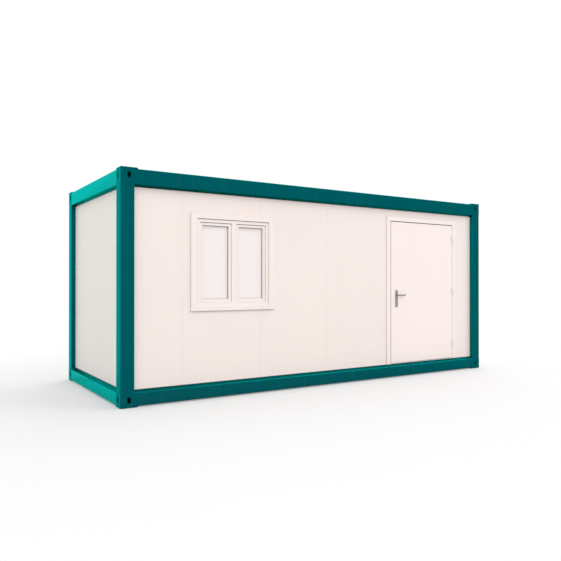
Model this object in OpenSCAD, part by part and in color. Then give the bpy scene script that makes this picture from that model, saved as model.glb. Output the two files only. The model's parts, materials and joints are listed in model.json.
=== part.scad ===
// Portable site cabin: a welded steel frame with recessed sandwich panel walls,
// one window and one outward opening door in the front wall.
// Millimetres. +X runs along the front, -Y is the front face, +Z is up.
// The origin is on the ground at the middle of the footprint.

/* [Cabin] */
// Overall length
cabin_l = 6000; // [5000:50:7300]
// Overall width
cabin_w = 2400; // [1800:50:3000]
// Overall height
cabin_h = 2700; // [2600:50:3300]

/* [Steel frame] */
// Side of the square corner posts
post_w = 160; // [130:5:200]
// Thickness of the folded steel of posts and rails
steel_t = 4; // [3:0.5:8]
// Outer bend radius of posts and rails
bend_r = 7; // [5:0.5:12]
// Height of the front face of the bottom rails
bottom_rail_h = 149; // [120:1:190]
// Rise of the sloped ledge from the bottom rail's face to the wall
ledge_rise = 29; // [10:1:50]
// Height of the outer face of the top rails
top_rail_h = 179; // [140:1:240]
// Drop of the sloped soffit from the top rail's face to the wall
soffit_drop = 18; // [5:1:40]
// Depth of the rails from the outer face inwards
rail_d = 125; // [118:1:140]

/* [Corner castings] */
// Height of a casting block
casting_h = 170; // [140:5:200]
// Thickness of a casting's walls
casting_t = 12; // [8:1:16]
// How far the castings stand proud above and below the rails
casting_proud = 14; // [8:1:25]
// Length of the proud plate along the long rails
plate_l = 205; // [190:5:260]
// Length of the locking slots in the tops and bottoms
lock_slot_l = 120; // [90:1:124]
// Width of the locking slots
lock_slot_w = 63.5; // [50:0.5:70]
// Height of the lifting holes in the outer faces
lift_hole_h = 72; // [50:1:90]
// Width of the lifting holes
lift_hole_w = 40; // [40:1:60]
// Distance of the lifting holes from the corner edge
lift_hole_x = 98; // [80:1:104]
// Distance of the lifting holes from the top or bottom
lift_hole_z = 87; // [70:1:95]

/* [Walls, floor and roof] */
// Recess of the walls behind the outer faces of the frame
recess = 65; // [50:1:70]
// Thickness of the wall panels
wall_t = 50; // [35:1:55]
// Thickness of the floor deck
deck_t = 20; // [15:1:30]
// Height of the floor cross members
floor_joist_h = 110; // [80:5:125]
// Number of floor cross members
floor_joists = 11; // [7:1:15]
// Width of the cross members' flanges
joist_w = 60; // [40:5:80]
// Thickness of the cross members' steel
joist_t = 3; // [2:0.5:5]
// Thickness of the sheet under the floor
under_sheet_t = 3; // [2:0.5:6]
// Thickness of the ceiling panel
ceiling_t = 20; // [12:1:40]
// Height of the roof cross members
roof_joist_h = 110; // [80:5:120]
// Number of roof cross members
roof_joists = 9; // [5:1:13]
// Thickness of the roof sheet
roof_sheet_t = 2; // [1.5:0.5:4]
// Height of the roof sheet's ribs
rib_h = 30; // [15:1:40]
// Spacing of the roof sheet's ribs
rib_pitch = 250; // [200:10:350]
// Width of a rib at its top
rib_top_w = 50; // [30:5:70]
// Width of a rib at its foot
rib_foot_w = 100; // [80:5:130]

/* [Window] */
// Width over the casing
window_w = 1170; // [900:1:1500]
// Height over the casing
window_h = 1180; // [800:1:1300]
// Distance of the window's middle from the left end
window_x = 1455; // [1200:5:1700]
// Height of the casing's lower edge
window_z = 1060; // [900:1:1200]
// Width of the casing at its sides
window_casing = 80; // [60:1:100]
// Width of the casing at its head and foot
window_casing_h = 60; // [40:1:80]
// How far the casing stands proud of the wall
window_proud = 22; // [10:1:30]
// Overlap of the casing over the wall
window_lap = 30; // [20:1:38]
// Width of the fixed frame that shows inside the casing
window_fixed = 42; // [35:1:60]
// Width of the mullion between the sashes
mullion_w = 66; // [40:1:90]
// Width of the sash members
sash_w = 36; // [30:1:50]
// Step from the casing to the fixed frame, and from there to the sash
window_step = 12; // [6:1:14]
// Depth of the window behind the casing's inner step
window_d = 75; // [65:1:95]
// Setback of the panes behind the sash faces
pane_set = 32; // [20:1:34]
// Thickness of the panes
pane_t = 20; // [16:1:22]
// Depth of the glazing groove in the sash
pane_lap = 12; // [8:1:18]
// Fitting clearance round sashes and frames
fit = 0.3; // [0.1:0.1:0.8]

/* [Door] */
// Width of the door leaf
door_w = 1317; // [800:1:1400]
// Height of the door leaf
door_h = 2109; // [1900:1:2150]
// Distance of the leaf's hinged edge from the right end
door_x = 593; // [420:1:900]
// Thickness of the door leaf
leaf_t = 45; // [40:1:60]
// How far the leaf and casing stand proud of the wall
door_proud = 15; // [8:1:20]
// Gap between the leaf and its frame
door_gap = 8; // [6:0.5:12]
// Visible width of the door casing
door_casing = 70; // [50:1:90]
// Overlap of the door casing over the wall
door_lap = 35; // [20:1:45]
// Clearance between the leaf's back and the stop
stop_gap = 5; // [5:0.5:10]
// Cover of the stop behind the leaf's edges
stop_w = 20; // [12:1:25]
// Thickness of the stop
stop_t = 20; // [12:1:25]
// Height of the threshold
threshold_h = 4; // [3:0.5:10]

/* [Hinges] */
// Radius of the hinge knuckles
knuckle_r = 8; // [7:0.5:10]
// Radius of the hinge pins
pin_r = 4; // [3:0.5:5]
// Running clearance of the pins
pin_play = 0.05; // [0.02:0.01:0.1]
// Length of one hinge
hinge_l = 100; // [80:5:140]
// Width of one hinge flap
flap_w = 38; // [25:1:45]
// Thickness of the hinge flaps
flap_t = 3; // [2:0.5:4]
// Distance of the outer hinges' middles from the leaf's ends
hinge_end = 230; // [150:5:350]

/* [Lock and handle] */
// Height of the handle's axis above the ground
handle_z = 1215; // [1000:1:1300]
// Distance of the handle's axis from the leaf's free edge
backset = 107; // [60:1:130]
// Width of the lock plates
lock_plate_w = 44; // [35:1:60]
// Height of the lock plates
lock_plate_h = 258; // [200:1:300]
// Thickness of the lock plates
lock_plate_t = 8; // [5:0.5:10]
// Length of the plate above the handle's axis
plate_above = 78; // [50:1:100]
// Radius of the lever's neck
neck_r = 10; // [8:0.5:12]
// Radius of the spindle
spindle_r = 5; // [4:0.5:6]
// Length of the lever from its axis
lever_l = 150; // [110:1:170]
// Height of the lever's bar
lever_h = 20; // [14:1:24]
// Thickness of the lever's bar
lever_t = 12; // [8:1:14]
// Stand-off of the lever's middle from the leaf's face
lever_off = 42; // [36:1:43]
// Height of the keyhole below the handle's axis
key_drop = 85; // [70:1:110]
// Radius of the keyhole's round part
key_r = 5; // [3:0.5:6]
// Length of the keyhole's slot
key_slot_l = 14; // [8:1:18]
// Width of the keyhole's slot
key_slot_w = 4; // [2:0.5:5]

/* [Hidden] */

$fn = 48;
teal = [0, 0.36, 0.37];
panel_white = [0.95, 0.92, 0.9];
galvanised = [0.66, 0.69, 0.71];
steel_grey = [0.45, 0.45, 0.44];

// Half the overall length and width
hl = cabin_l / 2;
hw = cabin_w / 2;
// Inner ends of the posts
post_x = hl - post_w;
post_y = hw - post_w;
// Heights of the rails, the floor, and the walls' feet and heads
rail_z0 = casting_proud;
ledge_z = rail_z0 + bottom_rail_h;
wall_z0 = ledge_z + ledge_rise;
rail_z1 = cabin_h - casting_proud;
soffit_z = rail_z1 - top_rail_h;
wall_z1 = soffit_z - soffit_drop;
// Inner faces of the rails
rail_x = hl - rail_d;
rail_y = hw - rail_d;
// Front faces of the wall, window and door, measured along Y
wall_y = -hw + recess;
// Floor and roof layers
deck_z = wall_z0 - deck_t;
floor_joist_z = deck_z - floor_joist_h;
roof_joist_z = wall_z1 + ceiling_t;
roof_sheet_z = roof_joist_z + roof_joist_h;
// Window: outer corner, and the cut in the wall
win_x0 = -hl + window_x - window_w / 2;
win_x1 = win_x0 + window_w;
win_z1 = window_z + window_h;
cut_x0 = win_x0 + window_lap;
cut_x1 = win_x1 - window_lap;
cut_z0 = window_z + window_lap;
cut_z1 = win_z1 - window_lap;
window_face = wall_y - window_proud;
fixed_face = window_face + window_step;
sash_face = fixed_face + window_step;
window_back = window_face + window_step + window_d;
pane_face = sash_face + pane_set;
light_inset = window_casing + window_fixed;
light_inset_h = window_casing_h + window_fixed;
light_w = (window_w - 2 * light_inset - mullion_w) / 2;
light_h = window_h - 2 * light_inset_h;
// Door: leaf, opening in the frame, and the cut in the wall
leaf_x1 = hl - door_x;
leaf_x0 = leaf_x1 - door_w;
leaf_z0 = wall_z0 + threshold_h + door_gap;
leaf_z1 = leaf_z0 + door_h;
leaf_face = wall_y - door_proud;
leaf_back = leaf_face + leaf_t;
stop_face = leaf_back + stop_gap;
door_open_x0 = leaf_x0 - door_gap;
door_open_x1 = leaf_x1 + door_gap;
door_open_z1 = leaf_z1 + door_gap;
door_out_x0 = door_open_x0 - door_casing;
door_out_x1 = door_open_x1 + door_casing;
door_out_z1 = door_open_z1 + door_casing;
door_cut_x0 = door_out_x0 + door_lap;
door_cut_x1 = door_out_x1 - door_lap;
door_cut_z1 = door_out_z1 - door_lap;
// Hinge axis, and the heights of the three hinges
hinge_x = (leaf_x1 + door_open_x1) / 2;
hinge_y = leaf_face - knuckle_r;
hinge_zs = [leaf_z0 + hinge_end, (leaf_z0 + leaf_z1) / 2, leaf_z1 - hinge_end];
// Handle axis
handle_x = leaf_x0 + backset;
// Margin by which a cut runs past what it cuts
past = 1;

// Corner k of a convex outline and its two neighbours
function at(pts, k) = pts[(k + len(pts)) % len(pts)];
function unit(v) = v / norm(v);
function to_prev(pts, k) = unit(at(pts, k - 1) - pts[k]);
function to_next(pts, k) = unit(at(pts, k + 1) - pts[k]);
function half_angle(pts, k) = acos(to_prev(pts, k) * to_next(pts, k)) / 2;
// The point at distance d from both sides that meet at corner k
function inner_corner(pts, k, d) =
    pts[k] + unit(to_prev(pts, k) + to_next(pts, k)) * d / sin(half_angle(pts, k));
function inset(pts, d) = [for (k = [0:len(pts) - 1]) inner_corner(pts, k, d)];

// A convex outline with every corner rounded to radius r
module rounded_outline(pts, r) {
    union() {
        for (k = [0:len(pts) - 1]) {
            translate(inner_corner(pts, k, r)) circle(r);
        }
        polygon(inset(pts, r));
        for (k = [0:len(pts) - 1]) {
            a = inner_corner(pts, k, r);
            b = inner_corner(pts, (k + 1) % len(pts), r);
            out = unit([b[1] - a[1], a[0] - b[0]]) * r;
            polygon([a, a + out, b + out, b]);
        }
    }
}

// A folded hollow section of the given outline
module hollow_section(pts) {
    difference() {
        rounded_outline(pts, bend_r);
        rounded_outline(inset(pts, steel_t), bend_r - steel_t);
    }
}

// A slot with round ends, centred, long side along X
module slot_2d(l, w) {
    union() {
        square([l - w, w], center = true);
        for (s = [-1, 1]) {
            translate([s * (l - w) / 2, 0]) circle(w / 2);
        }
    }
}

// A box between two corners
module block(a, b) {
    translate(a) cube(b - a);
}

// A rectangular ring in the XZ plane between y0 and y1, its sides w wide, its head and foot h
module ring(x0, x1, z0, z1, w, h, y0, y1) {
    difference() {
        block([x0, y0, z0], [x1, y1, z1]);
        block([x0 + w, y0 - past, z0 + h], [x1 - w, y1 + past, z1 - h]);
    }
}

// Places a front left piece at the corner with signs sx and sy
module at_corner(sx, sy) {
    mirror([sx > 0 ? 1 : 0, 0, 0]) mirror([0, sy > 0 ? 1 : 0, 0]) children();
}

// Front left corner post: a square tube between the castings
module corner_post(sx, sy) {
    color(teal) at_corner(sx, sy) translate([-hl, -hw, casting_h])
        linear_extrude(cabin_h - 2 * casting_h)
            hollow_section([[0, 0], [post_w, 0], [post_w, post_w], [0, post_w]]);
}

// Bottom casting at the front left, its slot downwards: a hollow block with a proud plate
module casting_shape() {
    plate = [[0, 0], [plate_l - casting_proud, 0], [plate_l, casting_proud], [0, casting_proud]];
    difference() {
        union() {
            cube([post_w, post_w, casting_h]);
            translate([0, post_w, 0]) rotate([90, 0, 0]) linear_extrude(post_w) polygon(plate);
        }
        translate([casting_t, casting_t, casting_t])
            cube([post_w - 2 * casting_t, post_w - 2 * casting_t, casting_h - 2 * casting_t]);
        translate([post_w / 2, post_w / 2, -past])
            linear_extrude(casting_t + 2 * past) slot_2d(lock_slot_l, lock_slot_w);
        translate([lift_hole_x, casting_t + past, lift_hole_z]) rotate([90, 0, 0])
            linear_extrude(casting_t + 2 * past) rotate(90) slot_2d(lift_hole_h, lift_hole_w);
        translate([-past, lift_hole_x, lift_hole_z]) rotate([90, 0, 90])
            linear_extrude(casting_t + 2 * past) rotate(90) slot_2d(lift_hole_h, lift_hole_w);
    }
}
module bottom_casting(sx, sy) {
    color(teal) at_corner(sx, sy) translate([-hl, -hw, 0]) casting_shape();
}
module top_casting(sx, sy) {
    color(teal) at_corner(sx, sy) translate([-hl, -hw, cabin_h]) mirror([0, 0, 1]) casting_shape();
}

// Rail outlines: first number inwards from the outer face, second upwards
bottom_rail_pts = [[0, rail_z0], [rail_d, rail_z0], [rail_d, wall_z0], [recess, wall_z0], [0, ledge_z]];
top_rail_pts = [[0, soffit_z], [recess, wall_z1], [rail_d, wall_z1], [rail_d, rail_z1], [0, rail_z1]];

// A rail along the front (sy -1) or the back (sy 1)
module long_rail(pts, sy) {
    color(teal) mirror([0, sy > 0 ? 1 : 0, 0]) translate([-post_x, -hw, 0])
        rotate([90, 0, 90]) linear_extrude(2 * post_x) hollow_section(pts);
}
// A rail along the left end (sx -1) or the right end (sx 1)
module end_rail(pts, sx) {
    color(teal) mirror([sx > 0 ? 1 : 0, 0, 0]) translate([-hl, post_y, 0])
        rotate([90, 0, 0]) linear_extrude(2 * post_y) hollow_section(pts);
}
module bottom_rail_front() { long_rail(bottom_rail_pts, -1); }
module bottom_rail_back() { long_rail(bottom_rail_pts, 1); }
module bottom_rail_left() { end_rail(bottom_rail_pts, -1); }
module bottom_rail_right() { end_rail(bottom_rail_pts, 1); }
module top_rail_front() { long_rail(top_rail_pts, -1); }
module top_rail_back() { long_rail(top_rail_pts, 1); }
module top_rail_left() { end_rail(top_rail_pts, -1); }
module top_rail_right() { end_rail(top_rail_pts, 1); }

// Takes the four posts' corners out of a layer between the rails
module clear_of_posts(z0, z1) {
    difference() {
        children();
        for (sx = [-1, 1], sy = [-1, 1]) {
            at_corner(sx, sy) block([-hl, -hw, z0 - past], [-post_x, -post_y, z1 + past]);
        }
    }
}

// A layer that fills the space between the rails
module layer(z0, z1) {
    clear_of_posts(z0, z1) block([-rail_x, -rail_y, z0], [rail_x, rail_y, z1]);
}

// Channels that run across the cabin from rail to rail
module cross_members(count, z0, h) {
    step = 2 * post_x / (count - 1);
    for (k = [0:count - 1]) {
        x = -post_x + k * step;
        flip = x > 0 ? 1 : 0;
        color(galvanised) translate([x, 0, z0]) mirror([flip, 0, 0]) difference() {
            block([0, -rail_y, 0], [joist_w, rail_y, h]);
            block([joist_t, -rail_y - past, joist_t], [joist_w + past, rail_y + past, h - joist_t]);
        }
    }
}
module floor_cross_members() { cross_members(floor_joists, floor_joist_z, floor_joist_h); }
module roof_cross_members() { cross_members(roof_joists, roof_joist_z, roof_joist_h); }
module floor_deck() { color([0.55, 0.53, 0.5]) layer(deck_z, wall_z0); }
module underfloor_sheet() { color(galvanised) layer(floor_joist_z - under_sheet_t, floor_joist_z); }
module ceiling_panel() { color(panel_white) layer(wall_z1, roof_joist_z); }

// Roof sheet: folded ribs that run across the cabin
module roof_sheet() {
    ribs = floor((2 * rail_x - rib_foot_w) / rib_pitch);
    first = -(ribs - 1) / 2 * rib_pitch;
    under = [for (k = [0:ribs - 1]) let (x = first + k * rib_pitch) each [
        [x - rib_foot_w / 2, 0], [x - rib_top_w / 2, rib_h],
        [x + rib_top_w / 2, rib_h], [x + rib_foot_w / 2, 0]
    ]];
    over = [for (k = [len(under) - 1:-1:0]) under[k] + [0, roof_sheet_t]];
    color(galvanised) clear_of_posts(roof_sheet_z, roof_sheet_z + rib_h + roof_sheet_t)
        translate([0, rail_y, roof_sheet_z]) rotate([90, 0, 0]) linear_extrude(2 * rail_y)
            polygon(concat(
                [[-rail_x, 0]], under, [[rail_x, 0], [rail_x, roof_sheet_t]],
                over, [[-rail_x, roof_sheet_t]]));
}

// A piece of the front wall
module front_wall(x0, x1, z0, z1) {
    color(panel_white) block([x0, wall_y, z0], [x1, wall_y + wall_t, z1]);
}
module front_wall_left() { front_wall(-post_x, cut_x0, wall_z0, wall_z1); }
module front_wall_under_window() { front_wall(cut_x0, cut_x1, wall_z0, cut_z0); }
module front_wall_over_window() { front_wall(cut_x0, cut_x1, cut_z1, wall_z1); }
module front_wall_middle() { front_wall(cut_x1, door_cut_x0, wall_z0, wall_z1); }
module front_wall_over_door() { front_wall(door_cut_x0, door_cut_x1, door_cut_z1, wall_z1); }
module front_wall_right() { front_wall(door_cut_x1, post_x, wall_z0, wall_z1); }
module back_wall() {
    color(panel_white) block([-post_x, -wall_y - wall_t, wall_z0], [post_x, -wall_y, wall_z1]);
}
module left_wall() {
    color(panel_white)
        block([-hl + recess, -post_y, wall_z0], [-hl + recess + wall_t, post_y, wall_z1]);
}
module right_wall() {
    color(panel_white)
        block([hl - recess - wall_t, -post_y, wall_z0], [hl - recess, post_y, wall_z1]);
}

// Window frame: a casing on the wall's face, a fixed frame through the wall, a mullion
module window_frame() {
    mid = (win_x0 + win_x1) / 2;
    color(panel_white) union() {
        ring(win_x0, win_x1, window_z, win_z1, window_casing, window_casing_h, window_face, wall_y);
        ring(cut_x0 + fit, cut_x1 - fit, cut_z0 + fit, cut_z1 - fit,
            light_inset - window_lap - fit, light_inset_h - window_lap - fit,
            fixed_face, window_back);
        block([mid - mullion_w / 2, fixed_face, window_z + light_inset_h - past],
            [mid + mullion_w / 2, window_back, win_z1 - light_inset_h + past]);
    }
}

// The outer box of a sash or pane: side is -1 for the left light, 1 for the right one
module light_box(side, grow, y0, y1) {
    mid = (win_x0 + win_x1) / 2 + side * (mullion_w + light_w) / 2;
    zmid = (window_z + win_z1) / 2;
    block([mid - light_w / 2 - grow, y0, zmid - light_h / 2 - grow],
        [mid + light_w / 2 + grow, y1, zmid + light_h / 2 + grow]);
}
module window_pane(side) {
    light_box(side, pane_lap - sash_w, pane_face, pane_face + pane_t);
}
module window_sash(side) {
    color(panel_white) difference() {
        light_box(side, -fit, sash_face, window_back);
        light_box(side, -sash_w, sash_face - past, window_back + past);
        window_pane(side);
    }
}
module window_sash_left() { window_sash(-1); }
module window_sash_right() { window_sash(1); }
module window_panes() {
    color([0.94, 0.93, 0.95]) {
        window_pane(-1);
        window_pane(1);
    }
}

// Door frame: a casing on the wall's face, jambs and head through the wall, a stop, a threshold
module door_frame() {
    back_y = wall_y + wall_t;
    color(panel_white) difference() {
        union() {
            block([door_out_x0, leaf_face, wall_z0], [door_out_x1, wall_y, door_out_z1]);
            block([door_cut_x0 + fit, leaf_face, wall_z0],
                [door_cut_x1 - fit, stop_face + stop_t, door_cut_z1 - fit]);
        }
        block([door_open_x0, leaf_face - past, wall_z0 + threshold_h],
            [door_open_x1, stop_face, door_open_z1]);
        block([leaf_x0 + stop_w, leaf_face - past, wall_z0 + threshold_h],
            [leaf_x1 - stop_w, stop_face + stop_t + past, leaf_z1 - stop_w]);
    }
}

// Door leaf: a slab with the bore for the spindle
module door_leaf() {
    color(panel_white) difference() {
        block([leaf_x0, leaf_face, leaf_z0], [leaf_x1, leaf_back, leaf_z1]);
        translate([handle_x, leaf_back + past, handle_z]) rotate([90, 0, 0])
            cylinder(r = spindle_r + pin_play, h = leaf_t + 2 * past);
    }
}

// Frame halves of the hinges: lower knuckle with the pin, and a flap on the casing
module door_hinges_frame_side() {
    half = hinge_l / 2 - fit / 2;
    for (z = hinge_zs) {
        color(panel_white) translate([hinge_x, hinge_y, z]) union() {
            translate([0, 0, -hinge_l / 2]) cylinder(r = knuckle_r, h = half);
            translate([0, 0, -hinge_l / 2]) cylinder(r = pin_r, h = hinge_l);
            block([0, knuckle_r - flap_t, -hinge_l / 2], [flap_w, knuckle_r, -hinge_l / 2 + half]);
        }
    }
}

// Leaf halves of the hinges: upper knuckle with its bore, and a flap on the leaf
module door_hinges_leaf_side() {
    half = hinge_l / 2 - fit / 2;
    for (z = hinge_zs) {
        color(panel_white) translate([hinge_x, hinge_y, z + fit / 2]) difference() {
            union() {
                cylinder(r = knuckle_r, h = half);
                block([-flap_w, knuckle_r - flap_t, 0], [0, knuckle_r, half]);
            }
            translate([0, 0, -past]) cylinder(r = pin_r + pin_play, h = half + 2 * past);
        }
    }
}

// Long plates on both faces of the leaf, each with a bore for the neck and a keyhole
module lock_plate() {
    mid_z = plate_above - lock_plate_h / 2;
    difference() {
        translate([0, 0, mid_z]) rotate([90, 0, 0])
            linear_extrude(lock_plate_t) rotate(90) slot_2d(lock_plate_h, lock_plate_w);
        translate([0, past, 0]) rotate([90, 0, 0])
            cylinder(r = neck_r + pin_play, h = lock_plate_t + 2 * past);
        translate([0, past, -key_drop]) rotate([90, 0, 0])
            linear_extrude(lock_plate_t + 2 * past) union() {
                circle(key_r);
                translate([-key_slot_w / 2, -key_slot_l]) square([key_slot_w, key_slot_l]);
            }
    }
}
module door_lock_plates() {
    color(steel_grey) {
        translate([handle_x, leaf_face, handle_z]) lock_plate();
        translate([handle_x, leaf_back, handle_z]) mirror([0, 1, 0]) lock_plate();
    }
}

// Lever on one side of the leaf: its neck and its bar, which points away from the free edge
module lever(face, dir) {
    translate([handle_x, face, handle_z]) mirror([0, dir > 0 ? 1 : 0, 0]) union() {
        rotate([90, 0, 0]) cylinder(r = neck_r, h = lever_off);
        translate([0, -lever_off + lever_t / 2, 0]) rotate([90, 0, 0]) linear_extrude(lever_t) union() {
            circle(lever_h / 2);
            translate([0, -lever_h / 2]) square([lever_l - lever_h / 2, lever_h]);
            translate([lever_l - lever_h / 2, 0]) circle(lever_h / 2);
        }
    }
}
module door_lever_handle() {
    color(steel_grey) union() {
        lever(leaf_face, -1);
        lever(leaf_back, 1);
        translate([handle_x, leaf_back + past, handle_z]) rotate([90, 0, 0])
            cylinder(r = spindle_r, h = leaf_t + 2 * past);
    }
}

corner_post(-1, -1);  // corner_post_front_left
corner_post(1, -1);  // corner_post_front_right
corner_post(-1, 1);  // corner_post_back_left
corner_post(1, 1);  // corner_post_back_right
bottom_casting(-1, -1);  // bottom_casting_front_left
bottom_casting(1, -1);  // bottom_casting_front_right
bottom_casting(-1, 1);  // bottom_casting_back_left
bottom_casting(1, 1);  // bottom_casting_back_right
top_casting(-1, -1);  // top_casting_front_left
top_casting(1, -1);  // top_casting_front_right
top_casting(-1, 1);  // top_casting_back_left
top_casting(1, 1);  // top_casting_back_right
bottom_rail_front();
bottom_rail_back();
bottom_rail_left();
bottom_rail_right();
top_rail_front();
top_rail_back();
top_rail_left();
top_rail_right();
floor_cross_members();
floor_deck();
underfloor_sheet();
roof_cross_members();
roof_sheet();
ceiling_panel();
front_wall_left();
front_wall_under_window();
front_wall_over_window();
front_wall_middle();
front_wall_over_door();
front_wall_right();
back_wall();
left_wall();
right_wall();
window_frame();
window_sash_left();
window_sash_right();
window_panes();
door_frame();
door_leaf();
door_hinges_frame_side();
door_hinges_leaf_side();
door_lock_plates();
door_lever_handle();
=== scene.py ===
import bpy
import bmesh
import json
import math
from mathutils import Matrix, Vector

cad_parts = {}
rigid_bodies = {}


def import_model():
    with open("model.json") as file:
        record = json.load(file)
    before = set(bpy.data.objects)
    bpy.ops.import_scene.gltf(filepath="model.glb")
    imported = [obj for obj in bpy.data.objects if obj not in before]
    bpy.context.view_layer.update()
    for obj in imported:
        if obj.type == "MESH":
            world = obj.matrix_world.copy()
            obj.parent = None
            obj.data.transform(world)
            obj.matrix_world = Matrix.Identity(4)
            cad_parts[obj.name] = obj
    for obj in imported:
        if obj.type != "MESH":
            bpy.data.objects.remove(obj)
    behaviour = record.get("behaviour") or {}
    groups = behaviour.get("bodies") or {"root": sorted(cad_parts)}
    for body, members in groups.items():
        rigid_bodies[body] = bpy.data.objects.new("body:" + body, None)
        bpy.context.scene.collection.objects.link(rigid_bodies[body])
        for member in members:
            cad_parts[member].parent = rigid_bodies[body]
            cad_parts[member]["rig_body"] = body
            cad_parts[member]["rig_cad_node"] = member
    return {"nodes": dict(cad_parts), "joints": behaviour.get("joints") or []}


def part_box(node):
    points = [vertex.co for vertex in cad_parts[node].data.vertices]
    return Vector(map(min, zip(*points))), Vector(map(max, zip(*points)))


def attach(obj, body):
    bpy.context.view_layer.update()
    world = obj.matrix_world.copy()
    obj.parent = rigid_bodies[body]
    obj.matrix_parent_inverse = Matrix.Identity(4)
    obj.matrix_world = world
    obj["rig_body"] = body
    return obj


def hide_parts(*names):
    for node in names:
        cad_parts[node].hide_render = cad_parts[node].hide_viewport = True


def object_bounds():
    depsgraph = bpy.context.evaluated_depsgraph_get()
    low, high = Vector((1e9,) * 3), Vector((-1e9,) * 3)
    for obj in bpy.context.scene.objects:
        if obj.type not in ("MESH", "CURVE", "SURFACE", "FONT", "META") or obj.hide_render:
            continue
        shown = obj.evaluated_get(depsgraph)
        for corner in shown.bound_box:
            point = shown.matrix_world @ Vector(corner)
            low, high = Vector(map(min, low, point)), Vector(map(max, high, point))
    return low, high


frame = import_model()
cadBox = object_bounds()
print("frame loaded:", len(frame["nodes"]), "nodes")


# small tools used by every piece

def pickOnly(*pieces):
    # the loader leaves all nodes selected, so everything is let go first
    bpy.ops.object.select_all(action="DESELECT")
    for piece in pieces:
        piece.select_set(True)
    bpy.context.view_layer.objects.active = pieces[0]


def openEdit(piece, kind="FACE"):
    pickOnly(piece)
    bpy.ops.object.mode_set(mode="EDIT")
    bpy.ops.mesh.select_mode(type=kind)
    bpy.ops.mesh.select_all(action="DESELECT")


def closeEdit():
    bpy.ops.object.mode_set(mode="OBJECT")


def markAll():
    bpy.ops.mesh.select_all(action="SELECT")


def markFaces(piece, test):
    mesh = bmesh.from_edit_mesh(piece.data)
    for face in mesh.faces:
        face.select_set(bool(test(face.calc_center_median(), face.normal)))
    mesh.select_flush_mode()
    bmesh.update_edit_mesh(piece.data)


def markSide(piece, axis, sign):
    markFaces(piece, lambda c, n: n[axis] * sign > 0.9)


def markPoints(piece, test):
    mesh = bmesh.from_edit_mesh(piece.data)
    for point in mesh.verts:
        point.select_set(bool(test(point.co)))
    mesh.select_flush_mode()
    bmesh.update_edit_mesh(piece.data)


def push(way):
    bpy.ops.transform.translate(value=way)


def pull(way):
    # marked faces are drawn out, with new sides behind them
    bpy.ops.mesh.extrude_region_move(TRANSFORM_OT_translate={"value": way})


def oneWay(axis, size):
    # a vector along one axis
    return [size if k == axis else 0 for k in range(3)]


def around(places, half):
    # two lines for each place, one on either side
    return [place + d for place in places for d in (-half, half)]


def settle():
    bpy.ops.object.transform_apply(location=True, rotation=True, scale=True)


def fresh(name, add, **settings):
    # a new primitive whose size and place are in its points
    bpy.ops.object.select_all(action="DESELECT")
    add(**settings)
    piece = bpy.context.object
    piece.name = name
    settle()
    return piece


def block(name, low, high):
    return fresh(name, bpy.ops.mesh.primitive_cube_add, size=1,
                 location=[(a + b) / 2 for a, b in zip(low, high)],
                 scale=[b - a for a, b in zip(low, high)])


def rod(name, middle, radius, length, axis="Z", sides=16):
    turn = {"X": (0, math.pi / 2, 0), "Y": (math.pi / 2, 0, 0), "Z": (0, 0, 0)}[axis]
    return fresh(name, bpy.ops.mesh.primitive_cylinder_add, vertices=sides, radius=radius,
                 depth=length, location=middle, rotation=turn)


def applyTool(piece, kind, **settings):
    pickOnly(piece)
    tool = piece.modifiers.new(kind, kind)
    for key, value in settings.items():
        setattr(tool, key, value)
    bpy.ops.object.modifier_apply(modifier=tool.name)


def smoothBy(piece, degrees):
    pickOnly(piece)
    bpy.ops.object.shade_smooth_by_angle(angle=math.radians(degrees))


def roundEdges(piece, width, segments=2, limit=30):
    applyTool(piece, "BEVEL", width=width, segments=segments, limit_method="ANGLE",
              angle_limit=math.radians(limit), use_clamp_overlap=True)
    smoothBy(piece, 40)


def evenFaces(piece):
    # the large faces set the shading, so they stay flat between their rounded edges
    applyTool(piece, "WEIGHTED_NORMAL", keep_sharp=True, weight=100)


def softBlock(name, low, high, edge, segments=2, limit=30):
    piece = block(name, low, high)
    roundEdges(piece, edge, segments, limit)
    return piece


def cutAcross(piece, axis, places):
    # slices that leave the block whole, one at each place along the axis
    openEdit(piece, "VERT")
    for place in places:
        markAll()
        bpy.ops.mesh.bisect(plane_co=oneWay(axis, place), plane_no=oneWay(axis, 1))
    closeEdit()


def cutOff(piece, level, above=False):
    # what lies below or above a level is cut off, and the ends are closed
    openEdit(piece)
    markAll()
    bpy.ops.mesh.bisect(plane_co=(0, 0, level), plane_no=(0, 0, 1), clear_inner=not above,
                        clear_outer=above, use_fill=True)
    closeEdit()


def pressIn(piece, axis, places, faceAxis, level, move):
    # points of one face on the given slices are pushed along the face's own axis
    openEdit(piece, "VERT")
    near = 0.00004
    markPoints(piece, lambda p: abs(p[faceAxis] - level) < near
               and any(abs(p[axis] - place) < near for place in places))
    push(oneWay(faceAxis, move))
    closeEdit()


def twinOf(piece, name):
    pickOnly(piece)
    bpy.ops.object.duplicate()
    twin = bpy.context.object
    twin.name = name
    return twin


def copyOf(piece, name, shift=(0, 0, 0)):
    twin = twinOf(piece, name)
    twin.location = shift
    settle()
    return twin


def mirrorOf(piece, name, axis):
    twin = twinOf(piece, name)
    twin.scale = [-1 if k == axis else 1 for k in range(3)]
    settle()
    openEdit(twin)
    markAll()
    bpy.ops.mesh.normals_make_consistent(inside=False)
    closeEdit()
    return twin


def fourOf(piece, stem):
    # the front left piece and its mirror copies at the other three corners
    piece.name = stem + "_front_left"
    right = mirrorOf(piece, stem + "_front_right", 0)
    return [piece, right, mirrorOf(piece, stem + "_back_left", 1),
            mirrorOf(right, stem + "_back_right", 1)]


def joinAll(name, pieces):
    pickOnly(*pieces)
    if len(pieces) > 1:
        bpy.ops.object.join()
    whole = bpy.context.object
    whole.name = name
    return whole


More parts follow.
